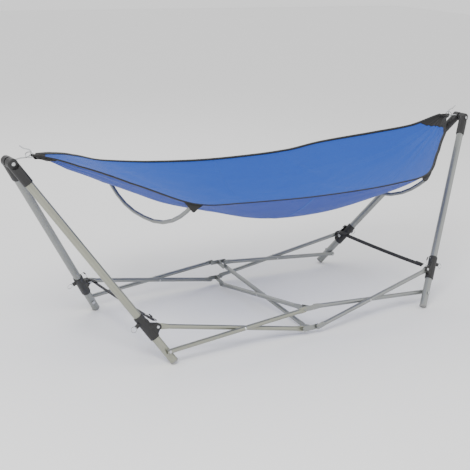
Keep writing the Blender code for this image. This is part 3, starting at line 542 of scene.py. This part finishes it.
def stitches(name, path, normals, body, material, length=0.0035, gap=0.0022, radius=0.0005):
    """A row of short threads lying on a surface along a path."""
    bm = bmesh.new()
    travelled = 0.0
    due = 0.0
    for i in range(len(path) - 1):
        step = path[i + 1] - path[i]
        distance = step.length
        if distance < 1e-7:
            continue
        heading = step / distance
        while due < travelled + distance:
            centre = path[i] + heading * (due - travelled)
            raised = centre + normals[i] * radius * 0.6
            side = heading.cross(normals[i]).normalized()
            ends = (raised - heading * length / 2, raised, raised + heading * length / 2)
            rings = []
            for at, swell in zip(ends, (0.5, 1.0, 0.5)):
                rings.append(
                    [
                        bm.verts.new(at + side * x * swell + normals[i] * y * swell)
                        for x, y in round_section(radius, 5)
                    ]
                )
            for a, b in zip(rings, rings[1:]):
                for k in range(5):
                    m = (k + 1) % 5
                    bm.faces.new((a[k], a[m], b[m], b[k]))
            bm.faces.new(rings[0])
            bm.faces.new(rings[-1])
            due += length + gap
        travelled += distance
    return finish_piece(name, bm, material, body)


for edge_name, edge_side in (("near", -1), ("far", 1)):
    edge_path = [bed_point(x, edge_side) for x in bed_xs]
    edge_out = [Vector((0, edge_side, BINDING_TILT)) for _ in edge_path]
    bm = bmesh.new()
    sweep(bm, edge_path, tape_section(BINDING_WIDTH, BINDING_THICKNESS), edge_out)
    finish_piece(f"{edge_name}_edge_binding", bm, black_tape, "bed")
    sewn_xs = [x for x in bed_xs if abs(x) < STITCHED_REACH]
    seam_shift = Vector((0, edge_side * STITCHES_INSET, -STITCHES_RISE))
    seam_path = [bed_point(x, edge_side) - seam_shift for x in sewn_xs]
    seam_up = [Vector((0, 0, 1)) for _ in seam_path]
    stitches(f"{edge_name}_binding_stitches", seam_path, seam_up, "bed", black_thread)


# ------------------------------------------------------------------ cross seam
# The two panels of cloth meet near the middle in a flat folded seam, sewn with two rows of blue thread.
# The seam stands a little proud of the cloth.
blue_thread = woven_material(
    "blue_thread", (0.03, 0.12, 0.42), (0.04, 0.14, 0.48), 0.0006, 0.6, 0.1, 0.8
)
SEAM_X = -0.03
SEAM_WIDTH = 0.013
SEAM_THICKNESS = 0.0020
SEAM_RISE = 0.0008
SEAM_THREAD_RISE = 0.0019
SEAM_THREAD_SHIFT = 0.004
seam_shares = [k / 60 for k in range(-59, 60)]
for seam_name, shift in (
    ("fold", 0.0),
    ("left_stitches", -SEAM_THREAD_SHIFT),
    ("right_stitches", SEAM_THREAD_SHIFT),
):
    path = [bed_point(SEAM_X + shift, share) for share in seam_shares]
    if seam_name == "fold":
        raised = [point + Vector((0, 0, SEAM_RISE)) for point in path]
        bm = bmesh.new()
        sweep(bm, raised, tape_section(SEAM_WIDTH, SEAM_THICKNESS), Vector((1, 0, 0)))
        finish_piece("cross_seam", bm, blue_cloth, "bed")
    else:
        lifted = [point + Vector((0, 0, SEAM_THREAD_RISE)) for point in path]
        seam_up = [Vector((0, 0, 1))] * len(path)
        stitches(f"cross_seam_{seam_name}", lifted, seam_up, "bed", blue_thread)


# ------------------------------------------------------------------ tube pockets
# Black cloth pockets, sewn under the edges, take the ends of the bent tubes. Each wraps round its tube
# and narrows downwards; the right-hand pair is the longer.
black_cloth = woven_material(
    "black_cloth", (0.008, 0.008, 0.008), (0.018, 0.017, 0.016), 0.0009, 0.8, 0.05, 0.6
)
POCKET_COLUMNS = 17
POCKET_ROWS = 9
POCKET_REACHES = {"left": (0.036, 0.036), "right": (0.046, 0.074)}  # inwards and outwards along the edge
POCKET_NARROWING = {"left": 0.62, "right": 0.35}
POCKET_START = 0.004
POCKET_DEPTH = 0.034
POCKET_SLANT = 0.45
POCKET_TUCK = 0.0105  # how far its middle wraps in round the tube
POCKET_OVERLAP = 0.002
POCKET_THICKNESS = 0.0016
for end_name, end in (("left", -1), ("right", 1)):
    arch_low, arch_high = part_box(f"{end_name}_spreader_arch")
    arch_x = (arch_low[0] + arch_high[0]) / 2
    for side_name, side in (("near", -1), ("far", 1)):
        bm = bmesh.new()
        uv = bm.loops.layers.uv.verify()
        grid = []
        for a in range(POCKET_ROWS):
            down = a / (POCKET_ROWS - 1)
            line = []
            for b in range(POCKET_COLUMNS):
                along_share = 2 * b / (POCKET_COLUMNS - 1) - 1
                reach = POCKET_REACHES[end_name][0 if along_share * end < 0 else 1]
                x = arch_x + along_share * reach * (1 - POCKET_NARROWING[end_name] * down**1.3)
                edge = bed_point(x, side)
                hug = math.cos(along_share * math.pi / 2)
                drop = POCKET_START + POCKET_DEPTH * down * (0.55 + 0.45 * hug)
                inward = POCKET_SLANT * drop - POCKET_TUCK * hug**0.8 * min(1.0, down * 2.5)
                shift = Vector((0, -side * (inward - POCKET_OVERLAP), -drop + POCKET_START))
                line.append(bm.verts.new(edge + shift))
            grid.append(line)
        for a in range(POCKET_ROWS - 1):
            for b in range(POCKET_COLUMNS - 1):
                corners = ((a, b), (a, b + 1), (a + 1, b + 1), (a + 1, b))
                face = bm.faces.new([grid[p][q] for p, q in corners])
                for loop, (p, q) in zip(face.loops, corners):
                    loop[uv].uv = (q * 0.005, p * 0.005)
        pocket = finish_piece(f"{side_name}_{end_name}_pocket", bm, black_cloth, "bed")
        thick = pocket.modifiers.new("thickness", "SOLIDIFY")
        thick.thickness = POCKET_THICKNESS
        thick.offset = 0.0
        rounder = pocket.modifiers.new("rounder", "SUBSURF")
        rounder.levels = 1
        rounder.render_levels = 1


# ------------------------------------------------------------------ reinforced and gathered ends
# Black cloth reinforces each end above and below. The end gathers into five folds, bound by a collar
# of tape, and a steel ring goes through them and over the hook's wire.
PATCH_ROWS = 22
PATCH_LIFTS = (0.0029, -0.0032)  # above and below the cloth
PATCH_OUTER_X = 1.035
PATCH_DEPTHS = {"left": (0.046, 0.046), "right": (0.066, 0.076)}  # at the near and the far edge
PATCH_HOLLOW = 0.016  # how much shorter it is in the middle
PATCH_SIDE_SHARE = 0.99
PATCH_THICKNESS = 0.0012
GATHER_FOLDS = 5
GATHER_PITCH = 0.0072
GATHER_FOLD_RADIUS = 0.0052
COLLAR_POINTS = 20
COLLAR_X = 0.010
COLLAR_DROP = 0.004
COLLAR_HALF_WIDTH = 0.0195
COLLAR_HALF_HEIGHT = 0.0082
COLLAR_TAPE = (0.012, 0.0016)
RING_POINTS = 28
RING_CENTRE_SHIFT = (0.0105, 0.0055)  # outwards and up from the gather
RING_HALF_SIZES = (0.0155, 0.009, 0.0085)
RING_WIRE_RADIUS = 0.0020


def smooth_curve(points, between):
    """Points on a smooth curve through the given ones, end points included."""
    points = [Vector(p) for p in points]
    padded = [points[0] * 2 - points[1], *points, points[-1] * 2 - points[-2]]
    path = []
    for i in range(1, len(padded) - 2):
        a, b, c, d = padded[i - 1 : i + 3]
        for k in range(between):
            t = k / between
            bend = (2 * a - 5 * b + 4 * c - d) * t**2 + (3 * b - a - 3 * c + d) * t**3
            path.append(0.5 * (2 * b + (c - a) * t + bend))
    path.append(points[-1])
    return path


for end_name, end in (("left", -1), ("right", 1)):
    near_depth, far_depth = PATCH_DEPTHS[end_name]
    bm = bmesh.new()
    uv = bm.loops.layers.uv.verify()
    for lift in PATCH_LIFTS:
        grid = []
        for a in range(PATCH_ROWS):
            reach = a / (PATCH_ROWS - 1)
            line = []
            for share in bed_shares:
                depth = near_depth + (far_depth - near_depth) * (share + 1) / 2
                depth -= PATCH_HOLLOW * (1 - share**2)
                point = bed_point(end * (PATCH_OUTER_X - depth * reach), share * PATCH_SIDE_SHARE)
                line.append(bm.verts.new(point + Vector((0, 0, lift))))
            grid.append(line)
        for a in range(PATCH_ROWS - 1):
            for b in range(len(bed_shares) - 1):
                corners = ((a, b), (a, b + 1), (a + 1, b + 1), (a + 1, b))
                face = bm.faces.new([grid[p][q] for p, q in corners])
                for loop, (p, q) in zip(face.loops, corners):
                    loop[uv].uv = (p * 0.005, q * 0.004)
    patch = finish_piece(f"{end_name}_end_patch", bm, black_cloth, "bed")
    thick = patch.modifiers.new("thickness", "SOLIDIFY")
    thick.thickness = PATCH_THICKNESS
    thick.offset = 0.0

    # The gather narrows into doubled webbing round the ring.
    low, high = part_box(f"{end_name}_bed_end")
    inner_x = low[0] if end > 0 else high[0]
    outer_x = high[0] if end > 0 else low[0]
    centre_z = (low[2] + high[2]) / 2
    bm = bmesh.new()
    for fold in range(GATHER_FOLDS):
        offset = (fold - GATHER_FOLDS // 2) * GATHER_PITCH
        path = smooth_curve(
            (
                (inner_x - end * 0.012, offset * 1.6, 0.777 + 0.0025 * math.cos(fold * 2.1)),
                (inner_x + end * 0.004, offset * 1.1, 0.781 + 0.0022 * math.cos(fold * 2.1 + 1)),
                (outer_x - end * 0.008, offset * 0.62, centre_z + 0.001 * math.cos(fold)),
                (outer_x, offset * 0.5, centre_z + 0.002),
            ),
            5,
        )
        sweep(bm, path, round_section(GATHER_FOLD_RADIUS), Vector((0, 1, 0)))
    gather = finish_piece(f"{end_name}_gather", bm, black_cloth, "bed_hangers")
    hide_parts(f"{end_name}_bed_end")

    # A bound collar where the folds are sewn together.
    bm = bmesh.new()
    collar = []
    for k in range(COLLAR_POINTS):
        turn = 2 * math.pi * k / COLLAR_POINTS
        y = COLLAR_HALF_WIDTH * math.cos(turn)
        z = centre_z - COLLAR_DROP + COLLAR_HALF_HEIGHT * math.sin(turn)
        collar.append(Vector((inner_x + end * COLLAR_X, y, z)))
    sweep(bm, collar, tape_section(*COLLAR_TAPE), Vector((1, 0, 0)), closed=True)
    finish_piece(f"{end_name}_collar", bm, black_tape, "bed_hangers")

    # The steel ring lies in the webbing loop and over the hook's wire.
    out, up = RING_CENTRE_SHIFT
    ring_centre = Vector((outer_x + end * out, 0, centre_z + up))
    half_x, half_y, half_z = RING_HALF_SIZES
    ring_path = []
    for k in range(RING_POINTS):
        turn = 2 * math.pi * k / RING_POINTS
        around = Vector((half_x * math.cos(turn), half_y * math.sin(turn), half_z * math.sin(turn)))
        ring_path.append(ring_centre + around)
    bm = bmesh.new()
    ring_out = [point - ring_centre for point in ring_path]
    sweep(bm, ring_path, round_section(RING_WIRE_RADIUS, 8), ring_out, closed=True)
    finish_piece(f"{end_name}_hanging_ring", bm, zinc, "bed_hangers")


# ------------------------------------------------------------------ leg bracket cheeks
# Each moulded bracket closes round its tube's flat end: an outer cheek with stiffening ribs, a bright
# bolt through it with its nut on the inner side, and the spring wire that pulls the lock pin.
CHEEK_END_RADIUS = 0.0135
CHEEK_LEVEL = 0.0118
CHEEK_THICKNESS = 0.0030
CHEEK_ROUNDING = 0.0009
RIB_LEVEL = 0.0150
RIB_SIZE = (0.0024, 0.0026)
RIB_STEPS = 4
BOLT_SIDES = 18
BOLT_ENDS = (  # level, height and radius: the head outside and the nut inside
    (0.0148, 0.0022, 0.0060),
    (-0.0118, -0.0020, 0.0062),
)
BOLT_PROFILE = (  # shares of the radius and of the height
    (1.0, 0.0),
    (1.0, 0.7),
    (0.8, 1.0),
    (0.42, 1.0),
    (0.38, 0.45),
)
BOLT_MIDDLE = (0.0004, 0.4)  # radius, and share of the height
WIRE_STEPS = 8
WIRE_RADIUS = 0.0009
GRIP_FROM = 17  # points of the wire between which the grip lies
GRIP_TO = 23
GRIP_STEPS = 6
GRIP_SHIFT = 0.001
GRIP_RADIUS = 0.0027


def bracket_point(axes, u, v, n):
    """A point of a bracket: u up the leg, v out towards the bolt and n along the bolt."""
    on_leg, up_leg, outward, across = axes
    return on_leg + up_leg * u + outward * v + across * n


for side_name, side in (("near", -1), ("far", 1)):
    for end_name in ("left", "right"):
        corner = f"{side_name}_{end_name}"
        leg_low, leg_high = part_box(f"{corner}_leg")
        foot_low, foot_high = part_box(f"{corner}_foot_plug")
        bolt_low, bolt_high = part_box(f"{corner}_ear_bolt")
        foot = (foot_low + foot_high) / 2
        ear = (bolt_low + bolt_high) / 2
        up_leg = ((leg_low + leg_high) / 2 - foot).normalized()
        on_leg = foot + up_leg * (ear - foot).dot(up_leg)
        outward = (ear - on_leg).normalized()
        across = up_leg.cross(outward)
        if across.y * side < 0:
            across.negate()
        reach = (ear - on_leg).length
        round_the_bolt = [
            (
                CHEEK_END_RADIUS * math.sin(math.radians(turn)),
                reach + CHEEK_END_RADIUS * math.cos(math.radians(turn)),
            )
            for turn in (70, 45, 20, 0, -20, -45, -70, -95)
        ]
        outline = [
            (0.060, 0.010),
            (0.058, 0.019),
            (0.046, 0.023),
            (0.036, 0.021),
            (0.026, 0.025),
            (0.019, reach - 0.002),
            *round_the_bolt,
            (-0.017, reach - 0.009),
            (-0.022, 0.020),
            (-0.029, 0.017),
            (-0.030, 0.010),
        ]
        axes = (on_leg, up_leg, outward, across)
        bm = bmesh.new()
        cheek = bm.faces.new([bm.verts.new(bracket_point(axes, u, v, CHEEK_LEVEL)) for u, v in outline])
        pulled = bmesh.ops.extrude_face_region(bm, geom=[cheek])
        top = [v for v in pulled["geom"] if isinstance(v, bmesh.types.BMVert)]
        bmesh.ops.translate(bm, verts=top, vec=across * CHEEK_THICKNESS)
        bmesh.ops.recalc_face_normals(bm, faces=bm.faces)
        rim = [e for e in bm.edges if all(v in top for v in e.verts)]
        bmesh.ops.bevel(
            bm, geom=rim, offset=CHEEK_ROUNDING, affect="EDGES", segments=2, profile=0.5, material=-1
        )
        for start, end in (
            ((0.050, 0.014), (0.010, reach - 0.006)),
            ((-0.024, 0.013), (-0.008, reach - 0.004)),
            ((0.028, 0.012), (0.022, 0.024)),
            ((0.004, 0.012), (0.004, reach - 0.012)),
        ):
            rib = [
                bracket_point(axes, *Vector(start).lerp(Vector(end), k / RIB_STEPS), RIB_LEVEL)
                for k in range(RIB_STEPS + 1)
            ]
            sweep(bm, rib, tape_section(*RIB_SIZE), across.cross(rib[-1] - rib[0]))
        bracket = f"{corner}_bracket"
        finish_piece(f"{corner}_bracket_cheek", bm, moulded_black, bracket, smooth=False)

        bm = bmesh.new()
        for level, height, radius in BOLT_ENDS:
            rings = []
            profile = [(radius * share, rise) for share, rise in BOLT_PROFILE]
            for r, rise in (*profile, BOLT_MIDDLE):
                n = level + height * rise
                ring = []
                for k in range(BOLT_SIDES):
                    turn = 2 * math.pi * k / BOLT_SIDES
                    u = r * math.cos(turn)
                    v = reach + r * math.sin(turn)
                    ring.append(bm.verts.new(bracket_point(axes, u, v, n)))
                rings.append(ring)
            for a, b in zip(rings, rings[1:]):
                for k in range(BOLT_SIDES):
                    m = (k + 1) % BOLT_SIDES
                    bm.faces.new((a[k], a[m], b[m], b[k]))
            bm.faces.new(rings[-1])
            bm.faces.new(rings[0])
        finish_piece(f"{corner}_bracket_bolt", bm, zinc, bracket)

        wire = smooth_curve(
            (
                bracket_point(axes, 0.060, 0.016, 0.002),
                bracket_point(axes, 0.066, 0.026, 0.003),
                bracket_point(axes, 0.060, 0.036, 0.004),
                bracket_point(axes, 0.040, 0.041, 0.004),
                bracket_point(axes, 0.020, reach + 0.006, 0.004),
                bracket_point(axes, 0.010, reach + 0.004, 0.004),
            ),
            WIRE_STEPS,
        )
        bm = bmesh.new()
        sweep(bm, wire, round_section(WIRE_RADIUS, 8), across)
        finish_piece(f"{corner}_pull_wire", bm, zinc, bracket)
        grip_shift = (wire[GRIP_FROM] - on_leg).normalized() * GRIP_SHIFT
        grip = [
            wire[GRIP_FROM].lerp(wire[GRIP_TO], k / GRIP_STEPS) + grip_shift for k in range(GRIP_STEPS + 1)
        ]
        bm = bmesh.new()
        sweep(bm, grip, round_section(GRIP_RADIUS), across)
        finish_piece(f"{corner}_pull_grip", bm, moulded_black, bracket)


# ------------------------------------------------------------------ bracket straps
# Flat black webbing from one leg bracket to the other at each end, folded back and sewn at its ends.
# The left one lies nearly flat and the right one is turned on its length.
STRAP_SIZE = (0.020, 0.0018)
STRAP_END_SIZE = (0.019, 0.0018)
STRAP_TILTS = {"left": math.radians(10), "right": math.radians(-28)}
STRAP_BELOW_TOP = 0.010
STRAP_SAG = 0.004
STRAP_STEPS = 40
STRAP_END_LENGTH = 0.045
STRAP_END_RISE = 0.0021
STRAP_END_STEPS = 6
for end_name, tilt in STRAP_TILTS.items():
    low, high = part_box(f"{end_name}_bracket_strap")
    x = (low[0] + high[0]) / 2
    top = high[2] - STRAP_BELOW_TOP
    half = high[1]
    path = []
    turns = []
    for k in range(STRAP_STEPS + 1):
        share = 2 * k / STRAP_STEPS - 1
        path.append(Vector((x, share * half, top - STRAP_SAG * (1 - share**2))))
        turns.append(Vector((math.cos(tilt), 0, -math.sin(tilt))))
    bm = bmesh.new()
    sweep(bm, path, tape_section(*STRAP_SIZE), turns)
    for share in (-1, 1):
        fold_path = []
        for k in range(STRAP_END_STEPS + 1):
            y = share * (half - STRAP_END_LENGTH * k / STRAP_END_STEPS)
            fold_path.append(Vector((x, y, top + STRAP_END_RISE)))
        sweep(bm, fold_path, tape_section(*STRAP_END_SIZE), turns[0])
    bracket = f"near_{end_name}_bracket"
    strap = finish_piece(f"{end_name}_strap_webbing", bm, black_tape, bracket)
    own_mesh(strap)
    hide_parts(f"{end_name}_bracket_strap")
